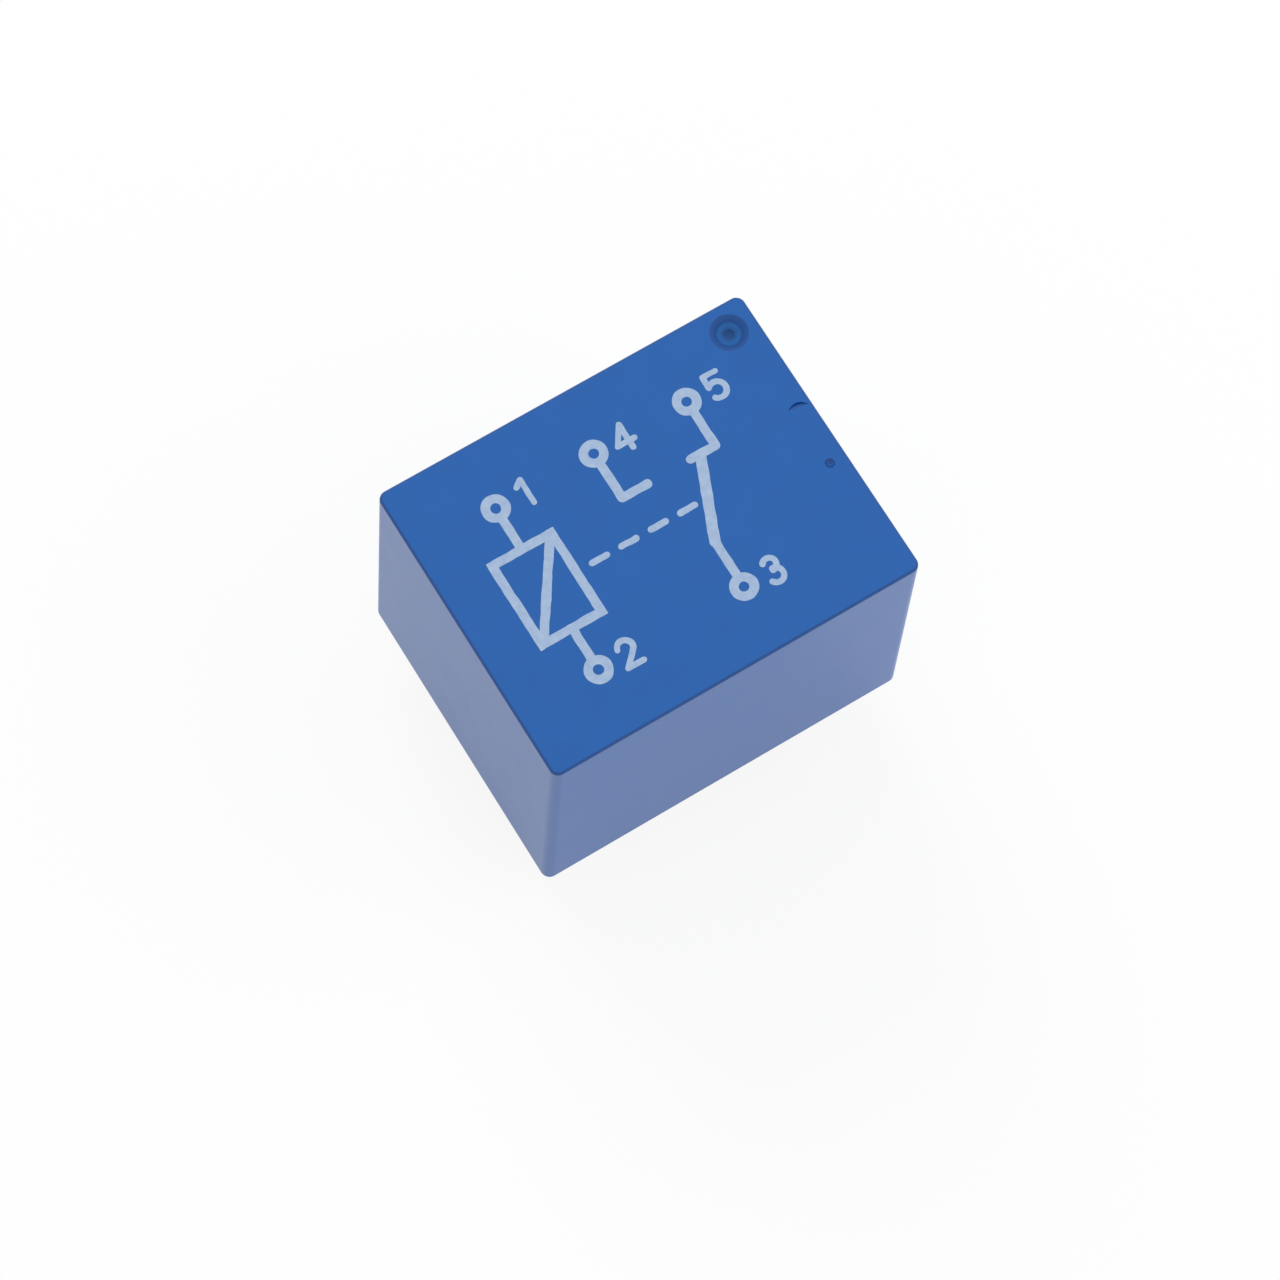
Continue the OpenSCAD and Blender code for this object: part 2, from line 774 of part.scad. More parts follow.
// Outline of the spring's arm seen from above, from its bend to its contact
module spring_plan() {
    rear_x = yoke_x0 - spring_t;
    shoulder_x = armature_x1 - (spring_w - spring_tip_w) / 2;
    polygon([[rear_x, -spring_w / 2], [shoulder_x, -spring_w / 2],
        [armature_x1, -spring_tip_w / 2], [contact_x, -spring_tip_w / 2],
        [contact_x, spring_tip_w / 2], [armature_x1, spring_tip_w / 2],
        [shoulder_x, spring_w / 2], [rear_x, spring_w / 2]]);
    translate([contact_x, 0])
        circle(d = spring_tip_w);
}

module moving_spring() {
    color("Peru") {
        opened()
            difference() {
                union() {
                    translate([0, 0, armature_z1])
                        linear_extrude(height = spring_t)
                            spring_plan();
                    along_y(spring_w) {
                        translate([yoke_x0 - spring_t, pole_z])
                            square([spring_t, armature_z1 + spring_t - pole_z]);
                        translate([yoke_x0, armature_z1])
                            mirror([0, 1])
                                corner_cut(spring_bend_r);
                    }
                }
                along_y(spring_w + past)
                    translate([yoke_x0 - spring_t, armature_z1 + spring_t])
                        mirror([0, 1])
                            corner_cut(spring_bend_r + spring_t);
                translate([yoke_x0 - past, -window_w / 2, pole_z - past])
                    cube([window_run + past, window_w, armature_t + 2 * past]);
                for (s = [-1, 1])
                    translate([boss_x, s * boss_spacing / 2, armature_z1 - past])
                        cylinder(h = 2 * past, d = boss_d + 2 * hole_fit);
                translate([contact_x, 0, armature_z1 - past])
                    cylinder(h = 2 * past, d = shank_d + 2 * hole_fit);
            }
        difference() {
            translate([yoke_x0 - spring_t, -spring_w / 2, pole_z - spring_leg])
                cube([spring_t, spring_w, spring_leg + eps]);
            translate([yoke_x0 - past, -window_w / 2, pole_z - window_run])
                cube([2 * past, window_w, window_run + past]);
            for (s = [-1, 1])
                translate([yoke_x0 - past, s * boss_spacing / 2, boss_z])
                    rotate([0, 90, 0])
                        cylinder(h = 2 * past, d = boss_d + 2 * hole_fit);
        }
    }
}

module moving_contact() {
    color("Silver")
        opened()
            translate([contact_x, 0, armature_z1]) {
                mirror([0, 0, 1])
                    contact_button(moving_head);
                translate([0, 0, -eps])
                    cylinder(h = spring_t + 2 * eps, d = shank_d);
                translate([0, 0, spring_t])
                    contact_button(moving_head);
            }
}

case();
base();
sealant();
bobbin();
winding();
core();
yoke();
com_terminal();
no_terminal();
nc_terminal();
no_contact();
nc_contact();
coil_pin_a();
coil_pin_b();
coil_solder_a();
coil_solder_b();
armature_plate();
moving_spring();
moving_contact();
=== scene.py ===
"""Looks of the sealed board relay: materials, the print on its lid, its leaf spring, light and camera."""

import json
import math

import bmesh
import bpy
from mathutils import Matrix, Vector, noise


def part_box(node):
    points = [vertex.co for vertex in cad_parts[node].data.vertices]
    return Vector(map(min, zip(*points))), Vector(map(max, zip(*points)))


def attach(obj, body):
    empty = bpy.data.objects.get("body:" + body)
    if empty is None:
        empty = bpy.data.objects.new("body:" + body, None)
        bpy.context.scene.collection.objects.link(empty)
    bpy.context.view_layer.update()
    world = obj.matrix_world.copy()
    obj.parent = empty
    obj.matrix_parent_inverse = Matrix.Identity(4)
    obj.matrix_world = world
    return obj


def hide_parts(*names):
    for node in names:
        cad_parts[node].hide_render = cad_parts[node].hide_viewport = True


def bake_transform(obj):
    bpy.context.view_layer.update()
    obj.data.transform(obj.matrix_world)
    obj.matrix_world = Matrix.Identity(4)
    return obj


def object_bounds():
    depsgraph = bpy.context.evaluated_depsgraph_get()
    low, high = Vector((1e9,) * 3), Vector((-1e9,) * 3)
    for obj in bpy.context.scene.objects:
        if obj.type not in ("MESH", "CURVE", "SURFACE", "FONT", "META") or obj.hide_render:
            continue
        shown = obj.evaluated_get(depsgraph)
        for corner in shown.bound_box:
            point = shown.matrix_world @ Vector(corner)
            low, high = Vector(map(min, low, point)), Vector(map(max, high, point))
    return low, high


MM = 0.001
FRAME_PX = 1280
SENSOR_MM = 36
FOCAL_PX = 4306.5
CAMERA_AT = Vector((-40.142, -51.239, 190.725)) * MM
CAMERA_RIGHT = Vector((0.850727, -0.524138, 0.039273))
CAMERA_UP = Vector((0.485992, 0.812867, 0.321029))
CAMERA_BACK = Vector((-0.200187, -0.254022, 0.946255))

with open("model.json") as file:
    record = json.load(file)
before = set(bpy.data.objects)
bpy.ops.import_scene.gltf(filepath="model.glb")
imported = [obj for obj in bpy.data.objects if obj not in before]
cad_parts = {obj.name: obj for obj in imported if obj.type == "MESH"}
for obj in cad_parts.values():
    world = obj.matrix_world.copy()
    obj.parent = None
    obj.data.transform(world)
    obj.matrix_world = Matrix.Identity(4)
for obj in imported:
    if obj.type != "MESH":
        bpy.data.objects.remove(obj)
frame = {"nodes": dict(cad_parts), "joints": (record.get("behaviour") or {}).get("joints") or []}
cad_low, cad_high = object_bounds()
nodes = frame["nodes"]
lid_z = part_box("case")[1].z
floor_z = cad_low.z


def make_camera():
    """Camera at the photograph's place, with its lens and roll."""
    data = bpy.data.cameras.new("camera")
    data.sensor_width = SENSOR_MM
    data.lens = SENSOR_MM * FOCAL_PX / FRAME_PX
    data.clip_start = 0.005
    data.clip_end = 20
    camera = bpy.data.objects.new("camera", data)
    turn = Matrix((CAMERA_RIGHT, CAMERA_UP, CAMERA_BACK)).transposed()
    camera.matrix_world = Matrix.Translation(CAMERA_AT) @ turn.to_4x4()
    bpy.context.scene.collection.objects.link(camera)
    bpy.context.scene.camera = camera


class Shade:
    """A Principled material and the few node helpers that its surface detail needs."""

    def __init__(self, name, **sockets):
        self.material = bpy.data.materials.new(name)
        self.material.use_nodes = True
        self.tree = self.material.node_tree
        self.surface = self.tree.nodes["Principled BSDF"]
        for key, value in sockets.items():
            label = "IOR" if key == "ior" else key.replace("_", " ").title()
            self.surface.inputs[label].default_value = value
        self.place = self.tree.nodes.new("ShaderNodeTexCoord").outputs["Object"]

    def link(self, source, target):
        self.tree.links.new(source, target)

    def stretch(self, x, y, z):
        """Object coordinates with each axis scaled, for marks that run one way."""
        node = self.tree.nodes.new("ShaderNodeMapping")
        node.inputs["Scale"].default_value = (x, y, z)
        self.link(self.place, node.inputs["Vector"])
        return node.outputs["Vector"]

    def speckle(self, size_mm, detail=3.0, roughness=0.5, at=None):
        """Noise whose features are about size_mm wide."""
        node = self.tree.nodes.new("ShaderNodeTexNoise")
        node.inputs["Scale"].default_value = 1 / (size_mm * MM)
        node.inputs["Detail"].default_value = detail
        node.inputs["Roughness"].default_value = roughness
        self.link(at or self.place, node.inputs["Vector"])
        return node.outputs["Fac"]

    def bands(self, pitch_mm, distortion=0.0):
        """Even bands across z, one every pitch_mm."""
        node = self.tree.nodes.new("ShaderNodeTexWave")
        node.bands_direction = "Z"
        node.inputs["Scale"].default_value = 2 * math.pi / (20 * pitch_mm * MM)
        node.inputs["Distortion"].default_value = distortion
        self.link(self.place, node.inputs["Vector"])
        return node.outputs["Fac"]

    def colours(self, driver, *stops):
        """Base colour from stops of (place, linear red, green, blue) along a driver from 0 to 1."""
        ramp = self.tree.nodes.new("ShaderNodeValToRGB")
        elements = ramp.color_ramp.elements
        while len(elements) < len(stops):
            elements.new(0.5)
        for element, (at, *rgb) in zip(elements, stops):
            element.position = at
            element.color = (*rgb, 1)
        self.link(driver, ramp.inputs["Fac"])
        self.link(ramp.outputs["Color"], self.surface.inputs["Base Color"])

    def ramp(self, value, low_mm, high_mm, low=0.0, high=1.0):
        """Smooth step of a length in metres, from low at low_mm to high at high_mm."""
        node = self.tree.nodes.new("ShaderNodeMapRange")
        node.interpolation_type = "SMOOTHSTEP"
        node.inputs["From Min"].default_value = low_mm * MM
        node.inputs["From Max"].default_value = high_mm * MM
        node.inputs["To Min"].default_value = low
        node.inputs["To Max"].default_value = high
        self.link(value, node.inputs["Value"])
        return node.outputs["Result"]

    def distance(self, point_mm):
        """Distance from a point of the part."""
        node = self.tree.nodes.new("ShaderNodeVectorMath")
        node.operation = "DISTANCE"
        node.inputs[1].default_value = Vector(point_mm) * MM
        self.link(self.place, node.inputs[0])
        return node.outputs["Value"]

    def fade(self, value, inner_mm, outer_mm):
        """1 below one length, and 0 above another."""
        return self.ramp(value, inner_mm, outer_mm, 1.0, 0.0)

    def band(self, low_mm, high_mm, soft_mm=0.02):
        """1 between two heights."""
        split = self.tree.nodes.new("ShaderNodeSeparateXYZ")
        self.link(self.place, split.inputs["Vector"])
        both = self.tree.nodes.new("ShaderNodeMath")
        both.operation = "MULTIPLY"
        self.link(self.ramp(split.outputs["Z"], low_mm - soft_mm, low_mm), both.inputs[0])
        self.link(self.fade(split.outputs["Z"], high_mm, high_mm + soft_mm), both.inputs[1])
        return both.outputs["Value"]

    def tint(self, mask, colour):
        """Multiplies the base colour by another where a mask is 1."""
        socket = self.surface.inputs["Base Color"]
        mix = self.tree.nodes.new("ShaderNodeMix")
        mix.data_type = "RGBA"
        mix.blend_type = "MULTIPLY"
        self.link(mask, mix.inputs["Factor"])
        self.link(socket.links[0].from_socket, mix.inputs["A"])
        mix.inputs["B"].default_value = (*colour, 1)
        self.link(mix.outputs["Result"], socket)

    def dull(self, mask, roughness):
        """Brings the roughness to a value where a mask is 1."""
        socket = self.surface.inputs["Roughness"]
        mix = self.tree.nodes.new("ShaderNodeMix")
        self.link(mask, mix.inputs["Factor"])
        self.link(socket.links[0].from_socket, mix.inputs["A"])
        mix.inputs["B"].default_value = roughness
        self.link(mix.outputs["Result"], socket)

    def finish(self, driver, low, high):
        """Roughness that wanders from low to high with a driver."""
        node = self.tree.nodes.new("ShaderNodeMapRange")
        node.inputs["From Min"].default_value = 0.3
        node.inputs["From Max"].default_value = 0.7
        node.inputs["To Min"].default_value = low
        node.inputs["To Max"].default_value = high
        self.link(driver, node.inputs["Value"])
        self.link(node.outputs["Result"], self.surface.inputs["Roughness"])

    def relief(self, driver, depth_mm, strength=1.0):
        """Bump of a driver, depth_mm from its low to its high."""
        node = self.tree.nodes.new("ShaderNodeBump")
        node.inputs["Distance"].default_value = depth_mm * MM
        node.inputs["Strength"].default_value = strength
        self.link(driver, node.inputs["Height"])
        self.link(node.outputs["Normal"], self.surface.inputs["Normal"])


# In mm: the centre of the vent dish, and the heights of the band along the top's edge where painted shade darkens
# the cover.
VENT = (7.95, 6.13, 14.9)
EDGE_SHADE_Z = (14.87, 14.985)


def cover_plastic():
    """Blue moulded cover with a satin skin, greyer in the matt vent dish; painted shade darkens the dish, most at
    its centre, and the edge of its top.
    """
    s = Shade("cover_plastic", ior=1.46)
    s.colours(s.speckle(2.5, 4.0, 0.6), (0.3, 0.006, 0.118, 0.441), (0.7, 0.008, 0.125, 0.460))
    # Painted shade: the colour is darker in a band along the rounded edge of the top.
    s.tint(s.band(*EDGE_SHADE_Z), (0.5, 0.6, 0.68))
    # The vent dish has a greyer, matt skin, and its colour is slightly darker as painted shade of the recess.
    dish = s.fade(s.distance(VENT), 0.55, 0.95)
    s.tint(dish, (2.2, 0.95, 0.84))
    # Painted shade: the colour darkens towards the centre of the vent dish, in its hollow.
    s.tint(s.fade(s.distance(VENT), 0.12, 0.5), (0.95, 0.6, 0.58))
    s.finish(s.speckle(2.5, 2.0), 0.28, 0.30)
    s.dull(dish, 0.75)
    s.relief(s.speckle(5.0, 1.0), 0.004)
    return s.material


def base_plastic():
    """Dark glass-filled plastic with a dull, slightly fibrous skin."""
    s = Shade("base_plastic", ior=1.5)
    s.colours(s.speckle(0.6, 5.0, 0.7), (0.3, 0.020, 0.021, 0.023), (0.7, 0.034, 0.035, 0.038))
    s.finish(s.speckle(0.4, 3.0), 0.5, 0.65)
    s.relief(s.speckle(0.12, 3.0, 0.6, s.stretch(0.3, 1, 1)), 0.004)
    return s.material


def resin():
    """Poured black epoxy with a glossy, slightly wavy skin."""
    s = Shade("resin", ior=1.54)
    s.colours(s.speckle(3.0, 3.0), (0.3, 0.006, 0.006, 0.007), (0.7, 0.013, 0.013, 0.014))
    s.finish(s.speckle(2.0, 3.0), 0.14, 0.3)
    s.relief(s.speckle(2.4, 2.0), 0.06, 0.5)
    return s.material


def bobbin_plastic():
    """Plain ivory nylon of the coil former."""
    s = Shade("bobbin_plastic", ior=1.52)
    s.colours(s.speckle(1.0, 4.0), (0.3, 0.66, 0.62, 0.50), (0.7, 0.76, 0.72, 0.60))
    s.finish(s.speckle(0.8, 3.0), 0.38, 0.5)
    s.relief(s.speckle(0.1, 2.0), 0.002)
    return s.material


def copper_wire():
    """Enamelled copper wire laid turn on turn, its colour darker in the grooves between turns as painted shade.
    """
    s = Shade("copper_wire", metallic=1.0, coat_weight=0.6, coat_roughness=0.2)
    turns = s.bands(0.08, 0.3)
    # Painted shade: the colour is darkest where the bands dip, in the grooves between turns.
    s.colours(turns, (0.05, 0.22, 0.065, 0.018), (0.5, 0.56, 0.19, 0.06), (0.95, 0.66, 0.25, 0.09))
    s.finish(s.speckle(0.5, 3.0), 0.28, 0.4)
    s.relief(turns, 0.02)
    return s.material


def plated_iron():
    """Nickel-plated soft iron, with the fine lines of its rolled strip."""
    s = Shade("plated_iron", metallic=1.0)
    s.colours(s.speckle(1.5, 5.0, 0.6), (0.3, 0.50, 0.51, 0.53), (0.7, 0.62, 0.63, 0.64))
    s.finish(s.speckle(0.5, 4.0, 0.6, s.stretch(0.15, 1, 1)), 0.26, 0.42)
    s.relief(s.speckle(0.08, 2.0, 0.5, s.stretch(0.06, 1, 1)), 0.0015)
    return s.material


def terminal_metal():
    """Tin-plated brass strip, dull where the tin has aged."""
    s = Shade("terminal_metal", metallic=1.0)
    s.colours(s.speckle(0.8, 5.0, 0.65), (0.3, 0.53, 0.50, 0.44), (0.7, 0.68, 0.66, 0.61))
    s.finish(s.speckle(0.5, 4.0), 0.22, 0.4)
    s.relief(s.speckle(0.1, 3.0, 0.5, s.stretch(1, 1, 0.1)), 0.0015)
    return s.material


def contact_metal():
    """Silver alloy contact, turned bright."""
    s = Shade("contact_metal", metallic=1.0)
    s.colours(s.speckle(0.5, 4.0), (0.3, 0.74, 0.73, 0.70), (0.7, 0.86, 0.85, 0.83))
    s.finish(s.speckle(0.3, 3.0), 0.14, 0.26)
    s.relief(s.speckle(0.05, 2.0), 0.0006)
    return s.material


def tinned_wire():
    """Tin-dipped round wire with a soft, uneven shine."""
    s = Shade("tinned_wire", metallic=1.0)
    s.colours(s.speckle(0.5, 4.0), (0.3, 0.58, 0.58, 0.58), (0.7, 0.72, 0.72, 0.71))
    s.finish(s.speckle(0.35, 4.0), 0.2, 0.36)
    s.relief(s.speckle(0.3, 2.0, 0.5, s.stretch(1, 1, 0.3)), 0.008)
    return s.material


def solder():
    """Solder cap, frosted by its grain."""
    s = Shade("solder", metallic=1.0)
    s.colours(s.speckle(0.2, 4.0), (0.3, 0.48, 0.49, 0.50), (0.7, 0.64, 0.65, 0.66))
    s.finish(s.speckle(0.15, 3.0), 0.26, 0.46)
    s.relief(s.speckle(0.15, 2.0), 0.01)
    return s.material


def spring_metal():
    """Rolled copper alloy of the leaf spring."""
    s = Shade("spring_metal", metallic=1.0)
    s.colours(s.speckle(1.2, 5.0, 0.6), (0.3, 0.60, 0.34, 0.18), (0.7, 0.72, 0.44, 0.25))
    s.finish(s.speckle(0.5, 4.0, 0.6, s.stretch(0.1, 1, 1)), 0.24, 0.38)
    s.relief(s.speckle(0.06, 2.0, 0.5, s.stretch(0.05, 1, 1)), 0.001)
    return s.material


def print_ink():
    """Pale pad-printing ink, thin enough that the blue below tints it."""
    s = Shade("print_ink", ior=1.25)
    s.colours(s.speckle(0.35, 4.0, 0.65), (0.25, 0.347, 0.472, 0.705), (0.75, 0.462, 0.592, 0.77))
    s.finish(s.speckle(0.3, 3.0), 0.65, 0.8)
    s.relief(s.speckle(0.12, 3.0), 0.003)
    return s.material


def dress(materials):
    """Gives each CAD node the material of its piece."""
    wear = {
        "cover_plastic": ["case"],
        "base_plastic": ["base"],
        "resin": ["sealant"],
        "bobbin_plastic": ["bobbin"],
        "copper_wire": ["winding"],
        "plated_iron": ["core", "yoke", "armature_plate"],
        "terminal_metal": ["com_terminal", "no_terminal", "nc_terminal"],
        "contact_metal": ["no_contact", "nc_contact", "moving_contact"],
        "tinned_wire": ["coil_pin_a", "coil_pin_b"],
        "solder": ["coil_solder_a", "coil_solder_b"],
        "spring_metal": ["moving_spring"],
    }
    for name, worn_by in wear.items():
        for node in worn_by:
            for slot in nodes[node].material_slots:
                slot.material = materials[name]


# Print, in mm: height above and depth in the lid, widths of strokes, point spacing, and its ragged edge.
INK_T = 0.008
INK_SINK = 0.004
STROKE = 0.42
ARM_STROKE = 0.5
LINK_STROKE = 0.3
DIGIT_STROKE = 0.27
STEP = 0.12
WELD = 0.001
RAGGED = 0.025
RAG_PER_MM = 2.6
RAG_SHIFT = Vector((3.7, 8.3, 5.5))


def around(centre, radius, start, end):
    """Points on an arc, in mm and degrees, about STEP apart."""
    count = max(6, math.ceil(abs(math.radians(end - start)) * radius / STEP))
    angles = [math.radians(start + (end - start) * i / count) for i in range(count + 1)]
    return [centre + Vector((radius * math.cos(a), radius * math.sin(a))) for a in angles]


def along(p, q):
    """Points from p up to but not on q, about STEP apart."""
    count = max(1, math.ceil((q - p).length / STEP))
    return [p.lerp(q, i / count) for i in range(count)]


def stroke(p, q, width=STROKE):
    """Outline of a straight stroke with round ends."""
    p, q = Vector(p), Vector(q)
    run = math.degrees(math.atan2(q.y - p.y, q.x - p.x))
    side = (q - p).orthogonal().normalized() * width / 2
    tip = around(q, width / 2, run - 90, run + 90)
    tail = around(p, width / 2, run + 90, run + 270)
    return [tip + along(q + side, p + side)[1:] + tail + along(p - side, q - side)[1:]]


def circle(centre, radius):
    """Points on a whole circle."""
    return around(Vector(centre), radius, 0, 360)[:-1]


def frame_outline(centre, half_x, half_y, width=STROKE):
    """Outer and inner outline of a rectangular frame."""
    loops = []
    for grow in (width / 2, -width / 2):
        x, y = half_x + grow, half_y + grow
        corners = [Vector(centre) + Vector(c) for c in ((-x, -y), (x, -y), (x, y), (-x, y))]
        loops.append([p for a, b in zip(corners, corners[1:] + corners[:1]) for p in along(a, b)])
    return loops


def prism(loops):
    """Thin closed solid, in mm, under an outline, or between an outer and an inner one of like count."""
    bm = bmesh.new()
    rows = []
    for loop in loops:
        rows.append([[bm.verts.new((p.x, p.y, z)) for p in loop] for z in (-INK_SINK, INK_T)])
    for low, high in rows:
        for i in range(len(low)):
            j = (i + 1) % len(low)
            bm.faces.new((low[i], low[j], high[j], high[i]))
    for level in (0, 1):
        outer = rows[0][level]
        if len(rows) == 1:
            bm.faces.new(outer)
        else:
            rings = [row[level] for row in rows]
            edges = [bm.edges.get((ring[i - 1], ring[i])) for ring in rings for i in range(len(ring))]
            bmesh.ops.triangle_fill(bm, edges=edges, use_beauty=True)
    bmesh.ops.recalc_face_normals(bm, faces=bm.faces)
    mesh = bpy.data.meshes.new("stroke")
    bm.to_mesh(mesh)
    bm.free()
    made = bpy.data.objects.new("stroke", mesh)
    bpy.context.scene.collection.objects.link(made)
    return made


def united(parts):
    """One mesh from overlapping closed solids, which are then removed."""
    first, *rest = parts
    for other in rest:
        join = first.modifiers.new("join", "BOOLEAN")
        join.operation = "UNION"
        join.solver = "EXACT"
        join.object = other
    bpy.context.view_layer.update()
    mesh = bpy.data.meshes.new_from_object(first.evaluated_get(bpy.context.evaluated_depsgraph_get()))
    for part in parts:
        bpy.data.objects.remove(part)
    return mesh


def bow(centre, radius, start, end, width):
    """Outline of a round stroke along an arc, with round ends."""
    centre = Vector(centre)
    turn = 1 if end > start else -1
    first, last = (around(centre, radius, a, a)[0] for a in (start, end))
    outer = around(centre, radius + width / 2, start, end)
    inner = around(centre, radius - width / 2, end, start)
    tip = around(last, width / 2, end, end + 180 * turn)
    tail = around(first, width / 2, start + 180, start + 180 + 180 * turn)
    return [outer + tip[1:-1] + inner + tail[1:-1]]


def digit(number, centre):
    """Strokes of a plain digit, 1.5 mm high, around a point."""
    w = DIGIT_STROKE
    x, y = centre
    strokes = {
        1: [((0.1, -0.61), (0.1, 0.61)), ((0.1, 0.61), (-0.22, 0.37))],
        2: [((0.33, 0.1), (-0.38, -0.61)), ((-0.38, -0.61), (0.42, -0.61))],
        3: [],
        4: [((0.17, -0.61), (0.17, 0.61)), ((0.17, 0.61), (-0.42, -0.26)), ((-0.42, -0.26), (0.44, -0.26))],
        5: [((0.34, 0.61), (-0.3, 0.61)), ((-0.3, 0.61), (-0.34, 0.03))],
    }[number]
    bows = {
        2: [((0, 0.25), 0.36, 170, -25)],
        3: [((-0.02, 0.3), 0.31, 150, -90), ((-0.02, -0.26), 0.35, 90, -150)],
        5: [((-0.02, -0.21), 0.4, 140, -140)],
    }.get(number, [])
    shapes = [stroke((x + a, y + b), (x + c, y + d), w) for (a, b), (c, d) in strokes]
    return shapes + [bow((x + a, y + b), r, start, end, w) for (a, b), r, start, end in bows]


def print_shapes():
    """Outlines of a generic changeover wiring symbol: coil, link, arm, two fixed contacts, five terminals."""
    row = 4.3
    ring_r = 0.66
    beside = 1.5
    coil_x, coil_half_x, coil_half_y = -5.2, 1.5, 2.1
    slant_x, slant_y = 1.3, 1.9
    arm_x, open_x, closed_x = 2.2, -0.2, 4.6
    contact_y, contact_run = 1.9, 1.3
    arm_run, arm_short = 1.55, 0.15
    dashes, dash_start, dash_pitch = 4, -2.9, 1.5
    ring_edge = row - ring_r + STROKE / 2
    terminals = [(coil_x, row), (coil_x, -row), (arm_x, -row), (open_x, row), (closed_x, row)]
    shapes = [[circle(c, ring_r), circle(c, ring_r - STROKE)] for c in terminals]
    shapes.append(frame_outline((coil_x, 0), coil_half_x, coil_half_y))
    shapes.append(stroke((coil_x - slant_x, -slant_y), (coil_x + slant_x, slant_y)))
    shapes.append(stroke((coil_x, coil_half_y), (coil_x, ring_edge)))
    shapes.append(stroke((coil_x, -coil_half_y), (coil_x, -ring_edge)))
    shapes.append(stroke((arm_x, -ring_edge), (arm_x, -contact_y)))
    shapes.append(stroke((arm_x, -contact_y), (arm_x + arm_run, contact_y - arm_short), ARM_STROKE))
    for x, inward in ((open_x, 1), (closed_x, -1)):
        shapes.append(stroke((x, ring_edge), (x, contact_y)))
        shapes.append(stroke((x, contact_y), (x + contact_run * inward, contact_y)))
    for i in range(dashes):
        x = dash_start + dash_pitch * i
        shapes.append(stroke((x, 0), (x + dash_pitch / 2, 0), LINK_STROKE))
    for i, (x, y) in enumerate(terminals):
        shapes += digit(i + 1, (x + beside, y))
    return shapes


def make_print(ink):
    """Ink on the lid: the wiring symbol and a number at each terminal, with the ragged edge of a pad print."""
    bm = bmesh.new()
    printed = united([prism(loops) for loops in print_shapes()])
    bm.from_mesh(printed)
    bpy.data.meshes.remove(printed)
    bmesh.ops.triangulate(bm, faces=bm.faces)
    bmesh.ops.remove_doubles(bm, verts=bm.verts, dist=WELD)
    for vertex in bm.verts:
        at = Vector((vertex.co.x, vertex.co.y, 0)) * RAG_PER_MM
        vertex.co.x += RAGGED * noise.noise(at + RAG_SHIFT)
        vertex.co.y += RAGGED * noise.noise(at - RAG_SHIFT)
    mesh = bpy.data.meshes.new("lid_print")
    bm.to_mesh(mesh)
    bm.free()
    mesh.transform(Matrix.Translation((0, 0, lid_z)) @ Matrix.Scale(MM, 4))
    mesh.materials.clear()
    mesh.materials.append(ink)
    piece = bpy.data.objects.new("lid_print", mesh)
    bpy.context.scene.collection.objects.link(piece)
    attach(piece, "relay")


# Cover, in mm: its draft, the rounding of its top's edge, and the radii of its upright edges.
CASE_DRAFT = 0.25
EDGE_R = 0.15
SOLID_CORNER_R = 0.5
RIM_CORNER_R = 0.45
TOP_CORNER_R = 0.43
CORNER_SLACK = 0.01


def make_cover(plastic):
    """Cover whose upright edges stay round up to the top, where those of its solid narrow."""
    half_l, half_w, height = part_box("case")[1] / MM
    slope = CASE_DRAFT / height
    shoulder = height - EDGE_R
    mesh = nodes["case"].data.copy()
    for vertex in mesh.vertices:
        x, y, z = vertex.co / MM
        wall = slope * min(z, shoulder)
        rise = min(max(z - shoulder, 0), EDGE_R)
        inset = wall + EDGE_R - math.sqrt(EDGE_R**2 - rise**2)
        from_x, from_y = half_l - inset - abs(x), half_w - inset - abs(y)
        solid_r = SOLID_CORNER_R - inset
        if max(from_x, from_y) > solid_r + CORNER_SLACK:
            continue
        share = min(z, shoulder) / shoulder
        radius = RIM_CORNER_R + (TOP_CORNER_R - RIM_CORNER_R) * share - (inset - wall)
        grow = radius / solid_r
        x = math.copysign(half_l - inset - from_x * grow, x)
        y = math.copysign(half_w - inset - from_y * grow, y)
        vertex.co = Vector((x, y, z)) * MM
    mesh.materials.clear()
    mesh.materials.append(plastic)
    piece = bpy.data.objects.new("cover", mesh)
    bpy.context.scene.collection.objects.link(piece)
    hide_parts("case")
    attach(piece, "relay")


BEND_REACH = 0.4 * MM
BEND_CUTS = 8
HAIR = 1e-7


def make_spring(metal):
    """Leaf spring, with its mesh cut across in thin slices about the hinge."""
    hinge = Vector(frame["joints"][0]["pos_m"])
    reach = Vector((0, 0, BEND_REACH))
    mesh = nodes["moving_spring"].data.copy()
    bm = bmesh.new()
    bm.from_mesh(mesh)
    for i in range(BEND_CUTS + 1):
        level = hinge + reach * (2 * i / BEND_CUTS - 1)
        whole = [*bm.verts, *bm.edges, *bm.faces]
        bmesh.ops.bisect_plane(bm, geom=whole, dist=HAIR, plane_co=level, plane_no=(0, 0, 1))
    bmesh.ops.dissolve_degenerate(bm, dist=HAIR, edges=bm.edges)
    bm.to_mesh(mesh)
    bm.free()
    mesh.materials.clear()
    mesh.materials.append(metal)
    piece = bpy.data.objects.new("leaf_spring", mesh)
    bpy.context.scene.collection.objects.link(piece)
    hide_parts("moving_spring")
    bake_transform(piece)


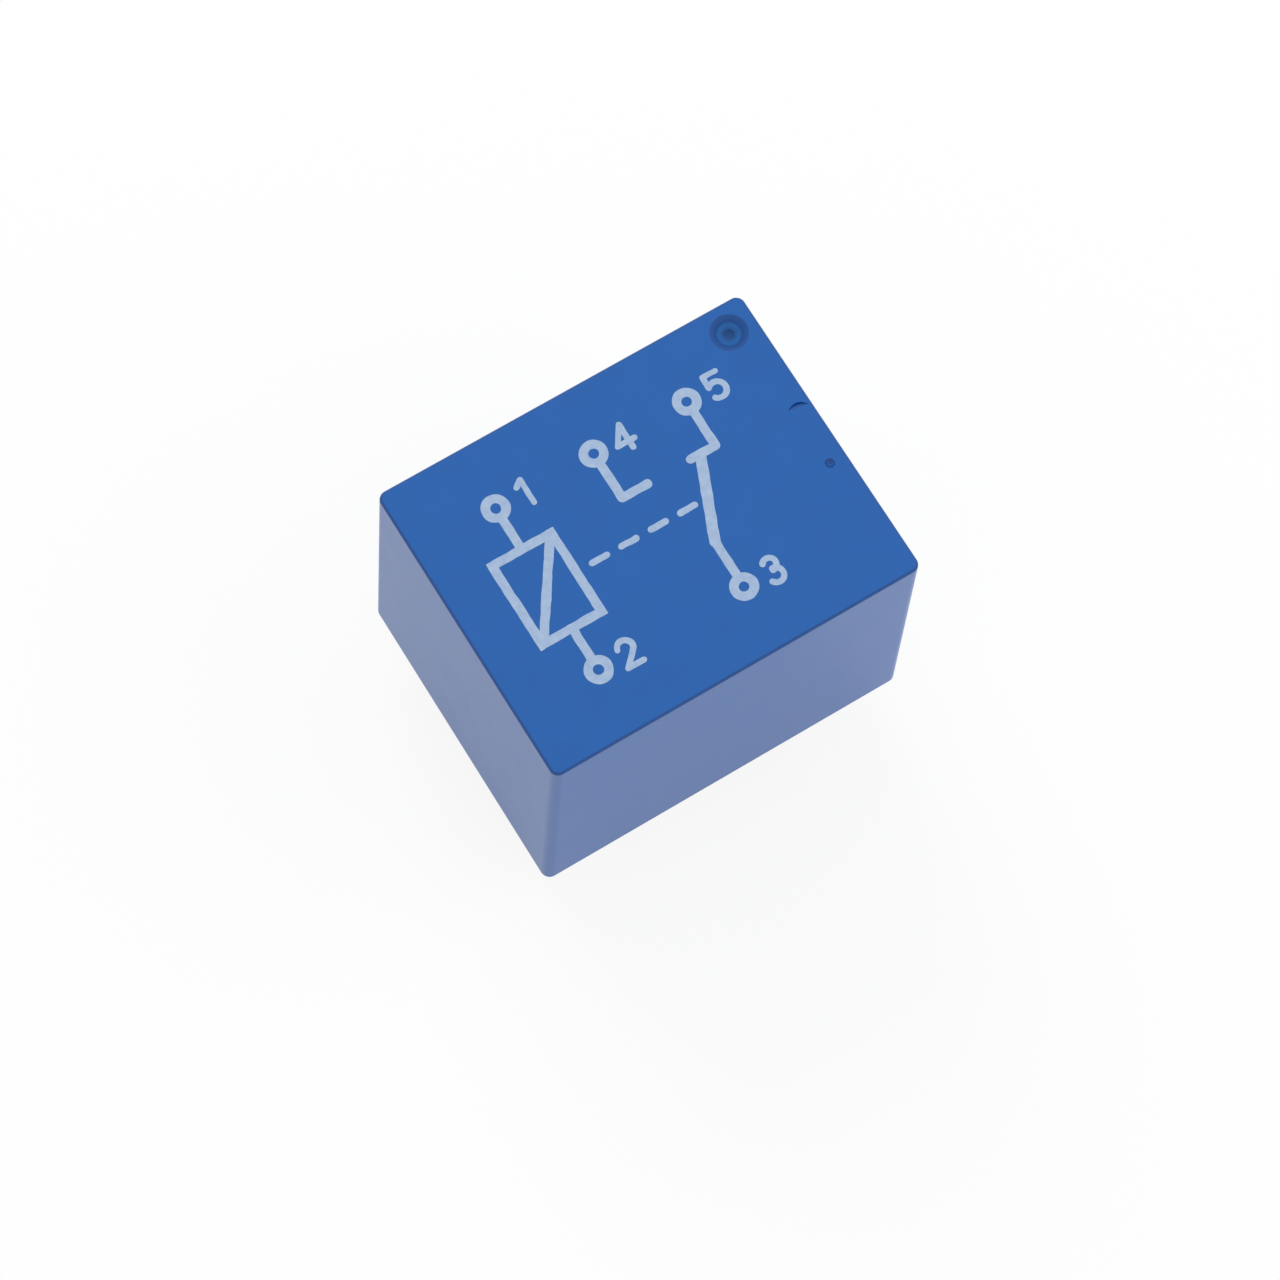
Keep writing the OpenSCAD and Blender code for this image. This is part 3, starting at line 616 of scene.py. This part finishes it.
def switch(tree, rays, unseen, seen):
    """Mixes in a second shader for the kinds of ray that are named."""
    path = tree.nodes.new("ShaderNodeLightPath")
    value = path.outputs[rays[0]]
    for name in rays[1:]:
        either = tree.nodes.new("ShaderNodeMath")
        either.operation = "MAXIMUM"
        tree.links.new(value, either.inputs[0])
        tree.links.new(path.outputs[name], either.inputs[1])
        value = either.outputs["Value"]
    mix = tree.nodes.new("ShaderNodeMixShader")
    tree.links.new(value, mix.inputs["Fac"])
    tree.links.new(unseen, mix.inputs[1])
    tree.links.new(seen, mix.inputs[2])
    return mix.outputs["Shader"]


def shader(tree, kind, colour, strength=None):
    """Output of a new shader node of one colour."""
    node = tree.nodes.new(kind)
    node.inputs["Color"].default_value = (*colour, 1)
    if strength is not None:
        node.inputs["Strength"].default_value = strength
    return node.outputs[0]


# Studio, in metres: light that falls on the floor near the relay and far from it, where each begins,
# and how much of the floor's shadow a mirror image and the eye show.
WHITE = (1, 1, 1)
EYE = ["Is Camera Ray"]
MIRROR = ["Is Glossy Ray", "Is Transmission Ray"]
FLOOR_LIGHT = 0.95
WORLD_LIGHT = 0.55
NEAR = 0.15
FAR = 0.9
FLOOR_HALF = 4.0
MIRROR_SHADOW = 0.6
EYE_SHADOW = 0.14


def make_world():
    """Soft even light from all round, and a white background to the eye."""
    world = bpy.data.worlds.new("studio")
    world.use_nodes = True
    tree = world.node_tree
    tree.nodes.clear()
    output = tree.nodes.new("ShaderNodeOutputWorld").inputs["Surface"]
    light = shader(tree, "ShaderNodeBackground", WHITE, WORLD_LIGHT)
    backdrop = shader(tree, "ShaderNodeBackground", WHITE, 1.0)
    tree.links.new(switch(tree, EYE + MIRROR, light, backdrop), output)
    bpy.context.scene.world = world


def make_floor():
    """Pale floor under the pins: white to the eye, with a soft shadow left in it."""
    half = FLOOR_HALF
    mesh = bpy.data.meshes.new("floor")
    corners = [(-half, -half, 0), (half, -half, 0), (half, half, 0), (-half, half, 0)]
    mesh.from_pydata(corners, [], [(0, 1, 2, 3)])
    floor = bpy.data.objects.new("floor", mesh)
    floor.location.z = floor_z
    bpy.context.scene.collection.objects.link(floor)
    material = bpy.data.materials.new("floor")
    material.use_nodes = True
    tree = material.node_tree
    tree.nodes.clear()
    output = tree.nodes.new("ShaderNodeOutputMaterial").inputs["Surface"]
    looks = shader(tree, "ShaderNodeBsdfDiffuse", (0.8, 0.8, 0.8))
    place = tree.nodes.new("ShaderNodeTexCoord").outputs["Object"]
    away = tree.nodes.new("ShaderNodeVectorMath")
    away.operation = "LENGTH"
    tree.links.new(place, away.inputs[0])
    for rays, shadow in ((MIRROR, MIRROR_SHADOW), (EYE, EYE_SHADOW)):
        seen = tree.nodes.new("ShaderNodeAddShader")
        tree.links.new(shader(tree, "ShaderNodeBsdfDiffuse", (shadow, shadow, shadow)), seen.inputs[0])
        glow = tree.nodes.new("ShaderNodeEmission")
        fall = tree.nodes.new("ShaderNodeMapRange")
        fall.inputs["From Min"].default_value = NEAR
        fall.inputs["From Max"].default_value = FAR
        fall.inputs["To Min"].default_value = 1 - shadow * FLOOR_LIGHT
        fall.inputs["To Max"].default_value = 1 - shadow * WORLD_LIGHT
        tree.links.new(away.outputs["Value"], fall.inputs["Value"])
        tree.links.new(fall.outputs["Result"], glow.inputs["Strength"])
        tree.links.new(glow.outputs["Emission"], seen.inputs[1])
        looks = switch(tree, rays, looks, seen.outputs["Shader"])
    tree.links.new(looks, output)
    mesh.materials.append(material)


def make_lamp(name, at, size, watts):
    """Square soft lamp that faces the relay and leaves no mirror image of itself."""
    data = bpy.data.lights.new(name, "AREA")
    data.size = size
    data.energy = watts
    lamp = bpy.data.objects.new(name, data)
    lamp.location = at
    lamp.rotation_euler = (-Vector(at)).to_track_quat("-Z", "Y").to_euler()
    lamp.visible_glossy = False
    bpy.context.scene.collection.objects.link(lamp)


make_camera()
makers = [
    cover_plastic,
    base_plastic,
    resin,
    bobbin_plastic,
    copper_wire,
    plated_iron,
    terminal_metal,
    contact_metal,
    tinned_wire,
    solder,
    spring_metal,
    print_ink,
]
materials = {make.__name__: make() for make in makers}
dress(materials)
make_cover(materials["cover_plastic"])
make_spring(materials["spring_metal"])
make_print(materials["print_ink"])
make_world()
make_floor()
make_lamp("back", (0.03, 0.42, 0.36), 0.30, 1.25)
make_lamp("fill", (0.385, -0.275, 0.275), 0.60, 1.05)
bpy.context.scene.view_settings.view_transform = "Standard"
